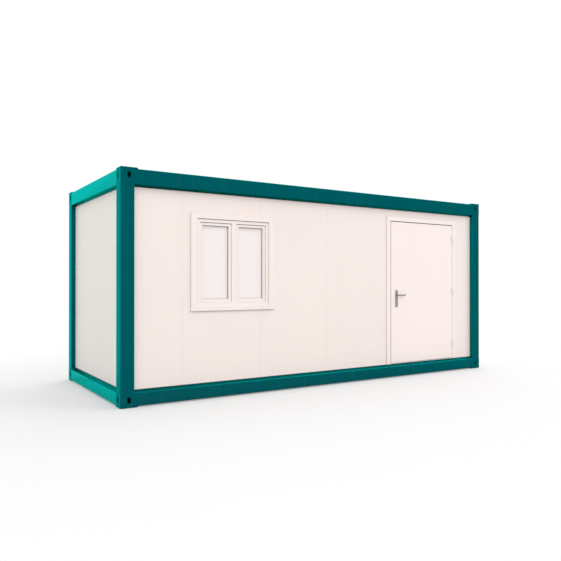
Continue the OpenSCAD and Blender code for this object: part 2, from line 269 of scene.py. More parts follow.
def repeat(first, name, places):
    # the piece made at the first place is copied to the others, then all are joined
    return joinAll(name, [first] + [copyOf(first, "copy", [b - a for a, b in zip(places[0], place)])
                                    for place in places[1:]])


def workingCopy(nodeName, name):
    # the node's own shape, merged, so that its edges can be rounded and its bends shaded
    piece = twinOf(frame["nodes"][nodeName], name)
    bpy.ops.object.parent_clear(type="CLEAR_KEEP_TRANSFORM")
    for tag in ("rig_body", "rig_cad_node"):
        del piece[tag]
    openEdit(piece, "VERT")
    markAll()
    bpy.ops.mesh.remove_doubles(threshold=0.00002)
    bpy.ops.mesh.tris_convert_to_quads(face_threshold=math.radians(1),
                                       shape_threshold=math.radians(180))
    closeEdit()
    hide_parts(nodeName)
    return piece


def openFrame(name, low, high, bar, axis=1):
    # a rectangular frame in the wall's plane: both faces inset, their middles joined through
    piece = block(name, low, high)
    openEdit(piece)
    markFaces(piece, lambda c, n: abs(n[axis]) > 0.9)
    bpy.ops.mesh.inset(thickness=bar, use_even_offset=True)
    bpy.ops.mesh.bridge_edge_loops()
    closeEdit()
    return piece


def done(piece, material, body="cabin"):
    piece.data.materials.clear()
    piece.data.materials.append(material)
    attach(piece, body)
    return piece


def doneAll(pieces, material):
    for piece in pieces:
        done(piece, material)


# materials

def feed(tree, node, values):
    # each input takes a link from another node, or else a constant
    for key, value in values.items():
        socket = node.inputs[key]
        if hasattr(value, "is_linked"):
            tree.links.new(value, socket)
        else:
            socket.default_value = (*value, 1) if socket.type == "RGBA" else value
    return node


def newNode(tree, kind, values, **settings):
    node = tree.nodes.new("ShaderNode" + kind)
    for key, value in settings.items():
        setattr(node, key, value)
    return feed(tree, node, values)


def newMaterial(name):
    # the material, its nodes, its shader, and the object's own coordinates
    material = bpy.data.materials.new(name)
    material.use_nodes = True
    tree = material.node_tree
    here = newNode(tree, "TexCoord", {}).outputs["Object"]
    return material, tree, tree.nodes["Principled BSDF"], here


def scaledPlace(tree, here, scale):
    return newNode(tree, "Mapping", {"Scale": scale, "Vector": here}).outputs["Vector"]


def noiseOf(tree, vector, scale, detail=2.0, rough=0.5):
    return newNode(tree, "TexNoise", {"Scale": scale, "Detail": detail, "Roughness": rough,
                                      "Vector": vector}).outputs["Fac"]


def cellsOf(tree, here, size, channel):
    # a broken pattern whose cells each have a value of their own
    cell = newNode(tree, "TexVoronoi", {"Scale": size, "Vector": here})
    return newNode(tree, "SeparateColor", {"Color": cell.outputs["Color"]}).outputs[channel]


def spread(tree, source, fromLow, fromHigh, toLow=0, toHigh=1):
    return newNode(tree, "MapRange", {"From Min": fromLow, "From Max": fromHigh, "To Min": toLow,
                                      "To Max": toHigh, "Value": source}).outputs["Result"]


def even(tree, noise, low=0, high=1):
    # a noise keeps mostly to the middle, which is stretched over the whole range
    return spread(tree, noise, 0.3, 0.7, low, high)


def blendColour(tree, share, first, second):
    return newNode(tree, "Mix", {0: share, 6: first, 7: second}, data_type="RGBA").outputs[2]


def sums(tree, kind, first, second):
    return newNode(tree, "Math", {0: first, 1: second}, operation=kind).outputs[0]


def bumpFrom(tree, height, distance, strength, before=None):
    values = {"Distance": distance, "Strength": strength, "Height": height}
    if before:
        values["Normal"] = before
    return newNode(tree, "Bump", values).outputs["Normal"]


def axesOf(tree, vector):
    return newNode(tree, "SeparateXYZ", {"Vector": vector}).outputs


coatingLook = {               # what all the paints share
    "runScale": (9, 9, 0.35), "runRange": (0.52, 0.8),
    "mottleSize": 14, "mottleRange": (0.35, 0.7, 0.15, 1),
    "glossSize": 6, "dustRough": 0.4, "peelStrength": 0.6,
    "endRange": (0.5, 0.9), "underRange": (-0.15, -0.6),      # of the face's direction: where end faces get painted light and undersides get painted shade
    # edges that look up, between these two spans, get a painted highlight
    "wornRise": (0.12, 0.35), "wornFall": (0.86, 0.78),
}


def coating(name, look):
    # sprayed or rolled paint: soft patches, faint runs down the height, dust low down, orange peel;
    # looks with a painted end light also get painted light and shade by the face's direction
    material, tree, shader, here = newMaterial(name)
    shared = coatingLook
    patches = even(tree, noiseOf(tree, here, look["patchSize"], 4))
    colour = blendColour(tree, patches, look["colour"], look["patchColour"])
    runs = noiseOf(tree, scaledPlace(tree, here, shared["runScale"]), 1.0, 5, 0.6)
    runShare = spread(tree, runs, *shared["runRange"], 0, look["runs"])
    colour = blendColour(tree, runShare, colour, look["dirt"])
    low = spread(tree, axesOf(tree, here)["Z"], look["dustTop"], look["dustFoot"])
    mottle = spread(tree, noiseOf(tree, here, shared["mottleSize"], 5, 0.65), *shared["mottleRange"])
    dust = sums(tree, "MULTIPLY", sums(tree, "MULTIPLY", low, mottle), look["dust"])
    colour = blendColour(tree, dust, colour, look["dirt"])
    if "endColour" in look:
        # painted light and shade by the face's direction: end faces are painted lighter as if lit from
        # the side, edges that look up carry a painted highlight, and faces that look down get painted
        # shade
        facing = newNode(tree, "NewGeometry", {}).outputs["True Normal"]
        parts = axesOf(tree, facing)
        upward = parts["Z"]
        paintedEndLightShare = spread(tree, sums(tree, "ABSOLUTE", parts["X"], 0), *shared["endRange"])
        colour = blendColour(tree, paintedEndLightShare, colour, look["endColour"])
        paintedUnderShadeShare = spread(tree, upward, *shared["underRange"])
        colour = blendColour(tree, paintedUnderShadeShare, colour, look["underColour"])
        paintedHighlightShare = sums(tree, "MULTIPLY", spread(tree, upward, *shared["wornRise"]),
                         spread(tree, upward, *shared["wornFall"]))
        colour = blendColour(tree, paintedHighlightShare, colour, look["wornColour"])
    rough = even(tree, noiseOf(tree, here, shared["glossSize"], 5, 0.6), *look["rough"])
    dustRough = sums(tree, "MULTIPLY", dust, shared["dustRough"])
    waves = bumpFrom(tree, noiseOf(tree, here, look["waveSize"], 1), look["wave"], 1.0)
    peel = noiseOf(tree, here, look["peelSize"], 2)
    feed(tree, shader, {
        "Base Color": colour, "Roughness": sums(tree, "ADD", rough, dustRough),
        "Normal": bumpFrom(tree, peel, look["peel"], shared["peelStrength"], waves),
        "Specular IOR Level": look["shine"]})
    if "flake" in look:
        feed(tree, shader, {"Metallic": look["flake"], "Specular Tint": look["edgeTint"]})
    return material


framePaintLook = {
    "colour": (0.0, 0.102, 0.116), "patchColour": (0.0, 0.094, 0.107),
    "patchSize": 1.7, "dirt": (0.30, 0.29, 0.26), "runs": 0.02,
    "dust": 0.015, "dustTop": 0.30, "dustFoot": 0.02,
    "rough": (0.20, 0.30), "shine": 0.0,
    "flake": 0.9, "edgeTint": (0.0, 1.0, 0.93),       # a flake finish that lightens side on
    # painted light: a lighter teal for end faces, a painted shade colour for undersides, a painted
    # highlight for upward edges
    "endColour": (0.0, 0.150, 0.148), "underColour": (0.0, 0.018, 0.012),
    "wornColour": (0.004, 0.205, 0.190),
    "peelSize": 420, "peel": 0.0003, "waveSize": 3.0, "wave": 0.002,
}
endRailLitLook = dict(framePaintLook, endColour=(0.034, 0.390, 0.360))     # painted light: the end rails' end faces are painted much lighter still, as if lit from the side
wallPaintLook = {
    "colour": (0.905, 0.800, 0.762), "patchColour": (0.885, 0.785, 0.750),
    "patchSize": 0.9, "dirt": (0.55, 0.52, 0.47), "runs": 0.06,
    "dust": 0.05, "dustTop": 0.60, "dustFoot": 0.19,
    "rough": (0.42, 0.56), "shine": 0.30,
    "peelSize": 520, "peel": 0.0003, "waveSize": 2.2, "wave": 0.003,
}
# the end walls' copy of the wall paint, tinted lighter and cooler: painted light, for how the light
# falls on the end walls
endWallLightTintLook = dict(wallPaintLook, colour=(0.905, 0.872, 0.824),
                        patchColour=(0.885, 0.856, 0.810))
doorPaintLook = dict(
    wallPaintLook, colour=(0.945, 0.826, 0.794), patchColour=(0.930, 0.814, 0.784), patchSize=1.2,
    runs=0.03, dustTop=0.55, dustFoot=0.20, rough=(0.34, 0.46), shine=0.35,
    peelSize=600, waveSize=2.6, wave=0.002)
profileLook = dict(
    wallPaintLook, colour=(0.920, 0.818, 0.783), patchColour=(0.900, 0.803, 0.772), patchSize=2.5,
    dirt=(0.52, 0.49, 0.45), runs=0.05, dust=0.10, dustTop=1.25, dustFoot=1.06,
    rough=(0.28, 0.38), shine=0.4, peelSize=300, peel=0.0001, waveSize=5.0, wave=0.001)
ceilingLook = dict(
    wallPaintLook, colour=(0.90, 0.86, 0.83), patchColour=(0.88, 0.84, 0.81), patchSize=1.1,
    dirt=(0.60, 0.58, 0.54), runs=0.0, dust=0.0, dustTop=0.5, dustFoot=0.2,
    rough=(0.5, 0.62), shine=0.25, peelSize=380, waveSize=2.0)


def zincSheet(name, look):
    # hot-dip zinc: crystals of two sizes, each with its own tone and gloss, and white rust in patches
    material, tree, shader, here = newMaterial(name)
    coarse, fine = [cellsOf(tree, here, size, "Red") for size in look["crystals"]]
    tone = sums(tree, "ADD", sums(tree, "MULTIPLY", coarse, look["coarseShare"]),
                sums(tree, "MULTIPLY", fine, 1 - look["coarseShare"]))
    colour = blendColour(tree, tone, look["dark"], look["light"])
    bloom = spread(tree, noiseOf(tree, here, look["bloomSize"], 6, 0.65), *look["bloomRange"],
                   0, look["bloom"])
    rough = spread(tree, tone, 0, 1, *look["rough"])
    feed(tree, shader, {
        "Base Color": blendColour(tree, bloom, colour, look["bloomColour"]),
        "Roughness": sums(tree, "ADD", rough, sums(tree, "MULTIPLY", bloom, look["bloomRough"])),
        "Metallic": look["metal"],
        "Normal": bumpFrom(tree, noiseOf(tree, here, look["grain"], 3), look["relief"], 0.5)})
    return material


zincLook = {
    "crystals": (38, 95), "coarseShare": 0.6, "dark": (0.34, 0.36, 0.38), "light": (0.52, 0.54, 0.55),
    "bloom": 0.45, "bloomSize": 1.6, "bloomRange": (0.5, 0.75), "bloomRough": 0.3,
    "bloomColour": (0.56, 0.56, 0.55), "rough": (0.42, 0.60), "metal": 0.7, "grain": 90,
    "relief": 0.0006,
}
zincBrightLook = dict(
    zincLook, crystals=(400, 900), dark=(0.48, 0.48, 0.48), light=(0.64, 0.63, 0.61), bloom=0.2,
    bloomColour=(0.6, 0.59, 0.56), rough=(0.28, 0.42), metal=0.85)


def drawnMetal(name, look):
    # brushed along one way, with fine scratches and finger marks
    material, tree, shader, here = newMaterial(name)
    lines = noiseOf(tree, scaledPlace(tree, here, look["grain"]), 1.0, 4, 0.6)
    colour = blendColour(tree, even(tree, lines), look["dark"], look["light"])
    marks = spread(tree, noiseOf(tree, here, look["markSize"], 4), 0.45, 0.7, 0, look["marks"])
    feed(tree, shader, {
        "Base Color": blendColour(tree, marks, colour, look["worn"]),
        "Roughness": even(tree, lines, *look["rough"]), "Metallic": look["metal"],
        "Normal": bumpFrom(tree, lines, look["relief"], 0.5)})
    return material


handleLook = {
    "grain": (60, 900, 900), "dark": (0.24, 0.215, 0.19), "light": (0.36, 0.33, 0.30),
    "worn": (0.45, 0.42, 0.38), "marks": 0.35, "markSize": 45, "rough": (0.30, 0.46), "metal": 0.8,
    "relief": 0.00015,
}
hingeLook = dict(             # white coated steel
    handleLook, grain=(300, 300, 40), dark=(0.86, 0.76, 0.73), light=(0.92, 0.815, 0.785),
    worn=(0.80, 0.72, 0.69), rough=(0.36, 0.5), metal=0.1)
treadLook = dict(
    handleLook, grain=(12, 500, 500), dark=(0.48, 0.48, 0.47), light=(0.66, 0.66, 0.65),
    worn=(0.74, 0.73, 0.71), rough=(0.3, 0.5), metal=0.9)


def softStrip(name, look):
    # rubber or sealant: matt, slightly uneven, dust in the hollows
    material, tree, shader, here = newMaterial(name)
    uneven = noiseOf(tree, here, look["grain"], 4, 0.6)
    share = spread(tree, uneven, 0.35, 0.7)
    feed(tree, shader, {
        "Base Color": blendColour(tree, share, look["colour"], look["dusty"]),
        "Roughness": even(tree, uneven, *look["rough"]),
        "Normal": bumpFrom(tree, uneven, look["relief"], 0.6), "Specular IOR Level": 0.3})
    return material


# rubber for real gaskets and seals, also used for dark strips of painted shade under the sill, at step
# heads and in the door's gap
gasketAndShadeLook = {"colour": (0.30, 0.272, 0.255), "dusty": (0.38, 0.345, 0.325), "grain": 130,
              "rough": (0.6, 0.78), "relief": 0.0004}
sealAndShadeLook = dict(gasketAndShadeLook, colour=(0.13, 0.115, 0.105), dusty=(0.19, 0.17, 0.155))
sealantLook = {"colour": (0.70, 0.63, 0.595), "dusty": (0.62, 0.56, 0.53), "grain": 60,
               "rough": (0.45, 0.62), "relief": 0.0008}


def opalGlass(name, look):
    # frosted white glass: even, a little cloudy, with a smooth front
    material, tree, shader, here = newMaterial(name)
    cloud = even(tree, noiseOf(tree, here, look["cloudSize"], 3))
    frost = noiseOf(tree, here, look["frostSize"], 3)
    feed(tree, shader, {
        "Base Color": blendColour(tree, cloud, look["colour"], look["cloud"]),
        "Roughness": even(tree, frost, *look["rough"]),
        "Normal": bumpFrom(tree, frost, look["relief"], 0.3), "Coat Weight": look["front"],
        "Coat Roughness": 0.06, "Specular IOR Level": 0.3})
    return material


opalLook = {"colour": (0.885, 0.828, 0.815), "cloud": (0.870, 0.815, 0.805), "cloudSize": 2.2,
            "frostSize": 700, "rough": (0.3, 0.42), "front": 0.35, "relief": 0.0001}


def vinylFloor(name, look):
    # homogeneous sheet vinyl: two sizes of chips on a grey ground, scuffed to a low gloss
    material, tree, shader, here = newMaterial(name)
    colour = look["ground"]
    for size, edge, chip in look["chips"]:
        share = sums(tree, "GREATER_THAN", cellsOf(tree, here, size, "Green"), edge)
        colour = blendColour(tree, share, colour, chip)
    scuff = spread(tree, noiseOf(tree, here, look["scuffSize"], 6, 0.65), 0.45, 0.75, 0, 0.3)
    feed(tree, shader, {
        "Base Color": blendColour(tree, scuff, colour, look["scuff"]),
        "Roughness": even(tree, noiseOf(tree, here, look["glossSize"], 5), *look["rough"]),
        "Normal": bumpFrom(tree, noiseOf(tree, here, look["grain"], 2), look["relief"], 0.5)})
    return material


vinylLook = {"ground": (0.30, 0.31, 0.32), "scuff": (0.36, 0.36, 0.35), "scuffSize": 2.2,
             "chips": ((260, 0.72, (0.40, 0.41, 0.42)), (420, 0.82, (0.20, 0.21, 0.22))),
             "glossSize": 9, "rough": (0.35, 0.6), "grain": 260, "relief": 0.0003}

framePaint = coating("frame_paint", framePaintLook)
endRailLitPaint = coating("end_rail_paint", endRailLitLook)
wallPaint = coating("wall_paint", wallPaintLook)
endWallLightTintPaint = coating("end_wall_paint", endWallLightTintLook)
doorPaint = coating("door_paint", doorPaintLook)
profilePaint = coating("window_profile", profileLook)
ceilingPaint = coating("ceiling_paint", ceilingLook)
zinc = zincSheet("zinc_sheet", zincLook)
brightZinc = zincSheet("zinc_screws", zincBrightLook)
handleSteel = drawnMetal("handle_steel", handleLook)
hingeSteel = drawnMetal("hinge_steel", hingeLook)
treadMetal = drawnMetal("tread_metal", treadLook)
gasketAndShadeRubber = softStrip("gasket_rubber", gasketAndShadeLook)
sealAndShadeRubber = softStrip("seal_rubber", sealAndShadeLook)
sealant = softStrip("sealant", sealantLook)
opal = opalGlass("opal_glass", opalLook)
vinyl = vinylFloor("vinyl_floor", vinylLook)
print("materials made")


# steel frame: posts, castings and rails

frameLook = {
    "castingEdge": 0.0022,    # rounding of the castings' edges
    "castingWall": 0.012, "ribReach": 0.044, "ribHalf": 0.003, "ribEdge": 0.0012,
}


def finishFrame():
    for nodeName in sorted(frame["nodes"]):
        if not nodeName.startswith(("corner_post", "bottom_", "top_")):
            continue
        piece = workingCopy(nodeName, nodeName + "_painted")
        if "casting" in nodeName:
            roundEdges(piece, frameLook["castingEdge"], 2, 40)
            evenFaces(piece)
        else:
            smoothBy(piece, 30)
        isEndRail = "rail" in nodeName and nodeName.endswith(("left", "right"))
        # the end rails get the copy with stronger painted side light; all frame paint carries painted
        # light and shade by face direction
        done(piece, endRailLitPaint if isEndRail else framePaint)


def makeCastingRibs():
    # inside each casting a short upright web stands across its outer corner
    low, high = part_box("bottom_casting_front_left")
    wall, reach = frameLook["castingWall"], frameLook["ribReach"]
    x, y = low.x + wall, low.y + wall
    rib = block("rib", (x, y, low.z + wall), (x + reach, y + reach, high.z - wall))
    openEdit(rib, "VERT")        # two opposite corners slide, so the block becomes a slanting plate
    slide = reach / 2 - frameLook["ribHalf"]
    for side in (1, -1):
        markPoints(rib, lambda p: (p.x - x - reach / 2) * side > 0 > (p.y - y - reach / 2) * side)
        push((-side * slide, side * slide, 0))
    closeEdit()
    roundEdges(rib, frameLook["ribEdge"], 1, 50)
    ribs = fourOf(rib, "casting_rib_bottom")
    lift = cadBox[1].z - high.z - low.z
    ribs += [copyOf(lower, lower.name.replace("bottom", "top"), (0, 0, lift)) for lower in ribs]
    doneAll(ribs, framePaint)


finishFrame()
makeCastingRibs()
print("steel frame painted")


# weld beads where rails meet posts

weldLook = {"radius": 0.0042, "ripple": 0.0034, "inset": 0.004, "clear": 0.001,
            "ledgeRise": 0.029, "soffitDrop": 0.018}


def weldBead(start, end):
    # one rounded ripple, repeated along the joint
    way = Vector(end) - Vector(start)
    bead = fresh("bead", bpy.ops.mesh.primitive_uv_sphere_add, segments=8, ring_count=5,
                 radius=weldLook["radius"], location=start)
    applyTool(bead, "ARRAY", use_relative_offset=False, use_constant_offset=True,
              constant_offset_displace=way.normalized() * weldLook["ripple"],
              count=max(2, int(way.length / weldLook["ripple"])))
    bpy.ops.object.shade_smooth()
    return bead


def weldFrame():
    # along the ledge and the soffit, on the inner side of each post, front and end
    low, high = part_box("corner_post_front_left")
    ledge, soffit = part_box("bottom_rail_front")[1].z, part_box("top_rail_front")[0].z
    wallFace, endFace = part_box("front_wall_left")[0].y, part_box("left_wall")[0].x
    x, y = high.x + weldLook["clear"], high.y + weldLook["clear"]
    inset = weldLook["inset"]
    slopes = ((ledge - weldLook["ledgeRise"], ledge), (soffit + weldLook["soffitDrop"], soffit))
    beads = [weldBead((x, low.y + inset, outer), (x, wallFace, inner)) for outer, inner in slopes]
    beads += [weldBead((low.x + inset, y, outer), (endFace, y, inner)) for outer, inner in slopes]
    doneAll(fourOf(joinAll("beads", beads), "weld_beads"), framePaint)


weldFrame()
print("weld beads laid")


# sandwich panels of the walls

wallLook = {
    "pitch": 0.2675,          # distance between two shallow flutes
    "firstFlute": 0.504,      # from the cabin's left end
    "flutes": 22, "endFlutes": range(-4, 5),         # counted from the end wall's middle
    "jointEvery": 4,          # a panel is four pitches wide
    "fluteHalf": 0.020, "fluteFloor": 0.010, "fluteDepth": 0.0006, "plainEdge": 0.002,
    "jointFloor": 0.008, "jointDepth": 0.0008,
    "slitHalf": 0.0006, "slitRim": 0.00096, "slitDepth": 0.0030,
}
wallNodes = [n for n in sorted(frame["nodes"]) if n.startswith("front_wall") or n.endswith("_wall")]


def fluteLines(along):
    # (place, is it a panel joint) along the cabin's length or across it
    pitch, every = wallLook["pitch"], wallLook["jointEvery"]
    if along == 0:
        first = cadBox[0].x + wallLook["firstFlute"]
        return [(first + k * pitch, k % every == 1) for k in range(wallLook["flutes"])]
    return [(k * pitch, k % every == 2) for k in wallLook["endFlutes"]]


def flutedWall(nodeName):
    low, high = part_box(nodeName)
    along = 0 if high.x - low.x > high.y - low.y else 1
    through = 1 - along
    edge = wallLook["fluteHalf"] + wallLook["plainEdge"]
    lines = [x for x in fluteLines(along) if low[along] + edge < x[0] < high[along] - edge]
    plain = [place for place, isJoint in lines if not isJoint]
    joints = [place for place, isJoint in lines if isJoint]
    piece = block(nodeName + "_panel", low, high)
    rims = around([place for place, isJoint in lines], wallLook["fluteHalf"])
    flutes = around(plain, wallLook["fluteFloor"])
    floors = around(joints, wallLook["jointFloor"]) + around(joints, wallLook["slitRim"])
    slits = around(joints, wallLook["slitHalf"])
    cutAcross(piece, along, rims + flutes + floors + slits)
    for level, sign in ((low[through], 1), (high[through], -1)):
        for places, depth in ((flutes, "fluteDepth"), (floors, "jointDepth"), (slits, "slitDepth")):
            pressIn(piece, along, places, through, level, sign * wallLook[depth])
    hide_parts(nodeName)
    # the end walls get the copy of the wall paint tinted as painted light
    done(piece, wallPaint if along == 0 else endWallLightTintPaint)


for wallNode in wallNodes:
    flutedWall(wallNode)
print("wall panels fluted:", len(wallNodes))


# sealant along the walls' edges

beadLook = {"size": 0.009, "cut": 0.006, "underDoor": 0.01}


def cornerBead(low, high, axis, keep):
    # a square strip whose free edge is cut back to a fillet
    piece = block("bead", low, high)
    openEdit(piece, "EDGE")
    mesh = bmesh.from_edit_mesh(piece.data)
    for line in mesh.edges:
        a, b = (v.co for v in line.verts)
        runs = abs(a[axis] - b[axis]) > 0.02
        free = all(abs(a[k] - (high[k] if keep[k] > 0 else low[k])) < 1e-5
                   for k in range(3) if k != axis)
        line.select_set(runs and free)
    bmesh.update_edit_mesh(piece.data)
    bpy.ops.mesh.bevel(offset=beadLook["cut"], segments=3, profile=0.35)
    closeEdit()
    return piece


def sealRound(name, low, high, side):
    # beads up both sides of a wall's outer face, then along its foot and head
    beads = []
    for axis, across in ((2, 1 - side), (1 - side, 2)):
        for sign in (1, -1):
            start, end, keep = list(low), list(high), [1, 1, 1]
            start[side], end[side] = high[side], high[side] + beadLook["size"]
            if sign > 0:
                end[across] = low[across] + beadLook["size"]
            else:
                start[across] = high[across] - beadLook["size"]
            keep[across] = sign
            beads.append(cornerBead(start, end, axis, keep))
    return joinAll(name, beads)


def sealWalls():
    back = sealRound("wall_seal_back", *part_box("back_wall"), 1)
    front = mirrorOf(back, "wall_seal_front", 1)
    doorLow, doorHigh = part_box("door_frame")
    left, right = doorLow.x + beadLook["underDoor"], doorHigh.x - beadLook["underDoor"]
    cutAcross(front, 0, (left, right))
    openEdit(front, "VERT")      # no bead runs under the door frame
    markFaces(front, lambda c, n: c.z < 1 and left < c.x < right)
    bpy.ops.mesh.delete(type="FACE")
    markAll()
    bpy.ops.mesh.fill_holes(sides=0)
    closeEdit()
    end = sealRound("wall_seal_right", *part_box("right_wall"), 0)
    doneAll((back, front, end, mirrorOf(end, "wall_seal_left", 0)), sealant)


sealWalls()
print("walls sealed")


# window

seamLook = {"size": 0.004, "sunk": 0.0005, "edge": 0.0015}      # sealant round a casing


def sealantLine(name, low, high, start, foot):
    # a line round three sides of a casing, from the height of its foot
    size, wallFace = seamLook["size"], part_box("front_wall_left")[0].y
    line = openFrame(name, (low.x - size, wallFace - size, low.z + start),
                     (high.x + size, wallFace + seamLook["sunk"], high.z + size), size * 2)
    cutOff(line, low.z + foot)
    roundEdges(line, seamLook["edge"], 2)
    done(line, sealant)


windowLook = {
    "edge": 0.0025,           # rounding of the profiles
    "gasket": 0.0075, "gasketProud": 0.004, "gasketEdge": 0.0015,
    "casingSide": 0.080, "fixedWide": 0.042, "step": 0.012,
    "strip": 0.0055, "stripProud": 0.0035, "stripEdge": 0.0008,     # seals in the inner steps; the dark rubber on their heads is painted shade
    "sashLap": 0.0357,        # sash profile round the glass
    "sunk": 0.0005, "dripEnd": 0.004, "dripBack": 0.0035,
    "handleIn": 0.019, "plate": (0.014, 0.004, 0.035), "neck": (0.012, 0.008, 0.02),
    "leverHalf": 0.009, "leverOut": (0.016, 0.027), "leverDown": 0.11, "leverUp": 0.011,
    "plateEdge": 0.0035, "neckEdge": 0.002, "leverEdge": 0.004, "leverTaper": 0.7,
    "dripEdge": 0.001, "capEdge": 0.0015, "capIn": 0.26, "capHalf": 0.016, "capOut": 0.003,
    "capSunk": 0.001, "capHeight": (0.062, 0.072),
}


def makeGlazing(side):
    # a gasket round each face of the pane, with a bead of the profile's own colour at the foot
    look = windowLook
    low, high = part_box("window_sash_" + side)
    paneLow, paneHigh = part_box("window_panes")
    left, right, foot = low.x + look["sashLap"], high.x - look["sashLap"], low.z + look["sashLap"]
    for face, y0, y1 in (("outer", paneLow.y - look["gasketProud"], paneLow.y),
                         ("inner", paneHigh.y, paneHigh.y + look["gasketProud"])):
        tail = side + "_" + face
        strip = openFrame("glazing_strip_" + tail, (left, y0, foot),
                          (right, y1, high.z - look["sashLap"]), look["gasket"])
        cutOff(strip, foot + look["gasket"])
        roundEdges(strip, look["gasketEdge"], 2)
        done(strip, gasketAndShadeRubber)
        done(softBlock("glazing_foot_" + tail, (left, y0, foot), (right, y1, foot + look["gasket"]),
                       look["gasketEdge"]), profilePaint)


def makeStepSeal(name, low, high, face):
    # dark rubber at the head of a step, painted shade where the step's shadow falls; pale sealant down
    # its sides
    strip, sunk = windowLook["strip"], windowLook["sunk"]
    head = openFrame(name, (low[0], face - windowLook["stripProud"], low[1]),
                     (high[0], face + sunk, high[1]), strip)
    cutOff(head, low[1] + strip * 2)
    jambs = copyOf(head, name + "_jambs")
    cutOff(jambs, high[1] - strip * 2, True)
    cutOff(head, high[1] - strip * 2)
    for piece, material in ((head, sealAndShadeRubber), (jambs, sealant)):
        roundEdges(piece, windowLook["stripEdge"], 2)
        done(piece, material)


def makeWindow():
    look = windowLook
    for nodeName in ("window_frame", "window_sash_left", "window_sash_right"):
        piece = workingCopy(nodeName, nodeName + "_profile")
        roundEdges(piece, look["edge"], 3, 30)
        evenFaces(piece)
        done(piece, profilePaint)
    for side in ("left", "right"):
        makeGlazing(side)
    sunk = look["sunk"]
    for side in ("left", "right"):
        sashLow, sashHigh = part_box("window_sash_" + side)
        makeStepSeal("window_seal_sash_" + side, (sashLow.x - sunk, sashLow.z - sunk),
                     (sashHigh.x + sunk, sashHigh.z + sunk), sashLow.y)
    low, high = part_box("window_frame")
    makeStepSeal("window_seal_frame", (low.x + look["casingSide"], sashLow.z - look["fixedWide"]),
                 (high.x - look["casingSide"], sashHigh.z + look["fixedWide"]),
                 sashLow.y - look["step"])
    sealantLine("window_seam", low, high, -seamLook["size"], 0)
    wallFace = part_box("front_wall_left")[0].y
    drip = softBlock("window_drip",       # a dark strip under the sill: painted shade where the casing's shadow falls on the wall
                     (low.x + look["dripEnd"], low.y + look["dripBack"], low.z - seamLook["size"]),
                     (high.x - look["dripEnd"], wallFace + sunk, low.z + sunk),
                     look["dripEdge"])
    done(drip, gasketAndShadeRubber)


def makeWindowHandle(side, sign):
    # a small lever on the room side of each sash, by the middle post
    look = windowLook
    low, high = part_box("window_sash_" + side)
    x = (low.x if sign > 0 else high.x) + sign * look["handleIn"]
    y, z = high.y, (low.z + high.z) / 2
    half, thick, tall = look["plate"]
    plate = softBlock("plate", (x - half, y, z - tall), (x + half, y + thick, z + tall),
                      look["plateEdge"], 3)
    out, radius, length = look["neck"]
    neck = rod("neck", (x, y + out, z), radius, length, "Y", 20)
    roundEdges(neck, look["neckEdge"], 2)
    half, (near, far) = look["leverHalf"], look["leverOut"]
    lever = block("lever", (x - half, y + near, z - look["leverDown"]),
                  (x + half, y + far, z + look["leverUp"]))
    openEdit(lever)
    markSide(lever, 2, -1)
    bpy.ops.transform.resize(value=(look["leverTaper"], look["leverTaper"], 1))
    closeEdit()
    roundEdges(lever, look["leverEdge"], 3)
    done(joinAll("window_handle_" + side, [plate, neck, lever]), profilePaint)


def makeDrainCaps():
    # covers over the drain holes in the sill profile
    look = windowLook
    low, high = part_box("window_frame")
    face = low.y + look["step"]
    foot, head = look["capHeight"]
    caps = [softBlock("cap", (x - look["capHalf"], face - look["capOut"], low.z + foot),
                      (x + look["capHalf"], face + look["capSunk"], low.z + head),
                      look["capEdge"])
            for x in (low.x + look["capIn"], high.x - look["capIn"])]
    done(joinAll("window_drain_caps", caps), profilePaint)


makeWindow()
makeWindowHandle("left", -1)
makeWindowHandle("right", 1)
makeDrainCaps()
print("window made")


# door

doorLook = {
    "leafEdge": 0.003, "frameEdge": 0.003, "plateEdge": 0.0015, "leverEdge": 0.004,
    "hingeEdge": 0.0006,
    "seamBack": 0.012, "seamHalf": 0.0015, "seamDepth": 0.001,     # fold of the two skins
    "stopGap": 0.005, "sealLap": 0.003, "sealDepth": 0.0042, "sealWidth": 0.014,
    "sealInset": 0.004, "sealGroove": 0.0015,
    "gap": 0.008, "gapBead": 0.0045, "gapHead": 0.0015, "flange": 0.004, "beadDepth": 0.011,
    "beadProud": 0.0015, "beadLap": 0.001, "sealEdge": 0.001,
}


def makeDoor():
    for nodeName, body, material, slot, edge, segments in (
            ("door_frame", "cabin", doorPaint, "door_paint", "frameEdge", 3),
            ("door_lock_plates", "door", handleSteel, "handle_steel", "plateEdge", 2),
            ("door_lever_handle", "handle", handleSteel, "handle_steel", "leverEdge", 3),
            ("door_hinges_leaf_side", "door", hingeSteel, "hinge_steel", None, 0),
            ("door_hinges_frame_side", "cabin", hingeSteel, "hinge_steel", None, 0)):
        piece = workingCopy(nodeName, nodeName + "_finished")
        if edge:
            roundEdges(piece, doorLook[edge], segments, 40)
            evenFaces(piece)
        else:
            roundEdges(piece, doorLook["hingeEdge"], 1, 50)
        done(piece, material, body)


def makeLeaf():
    # two pressed skins folded over a core: a fine seam runs round the leaf's edges
    low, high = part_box("door_leaf")
    leaf = block("door_leaf_pressed", low, high)
    middle = (low.y + high.y) / 2 + doorLook["seamBack"]
    rim, floor = doorLook["seamHalf"], doorLook["seamHalf"] / 3
    cutAcross(leaf, 1, [middle - rim, middle - floor, middle + floor, middle + rim])
    for axis in (0, 2):
        for level, sign in ((low[axis], 1), (high[axis], -1)):
            pressIn(leaf, 1, around([middle], floor), axis, level, sign * doorLook["seamDepth"])
    roundEdges(leaf, doorLook["leafEdge"], 3, 60)
    evenFaces(leaf)
    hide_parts("door_leaf")
    done(leaf, doorPaint, "door")


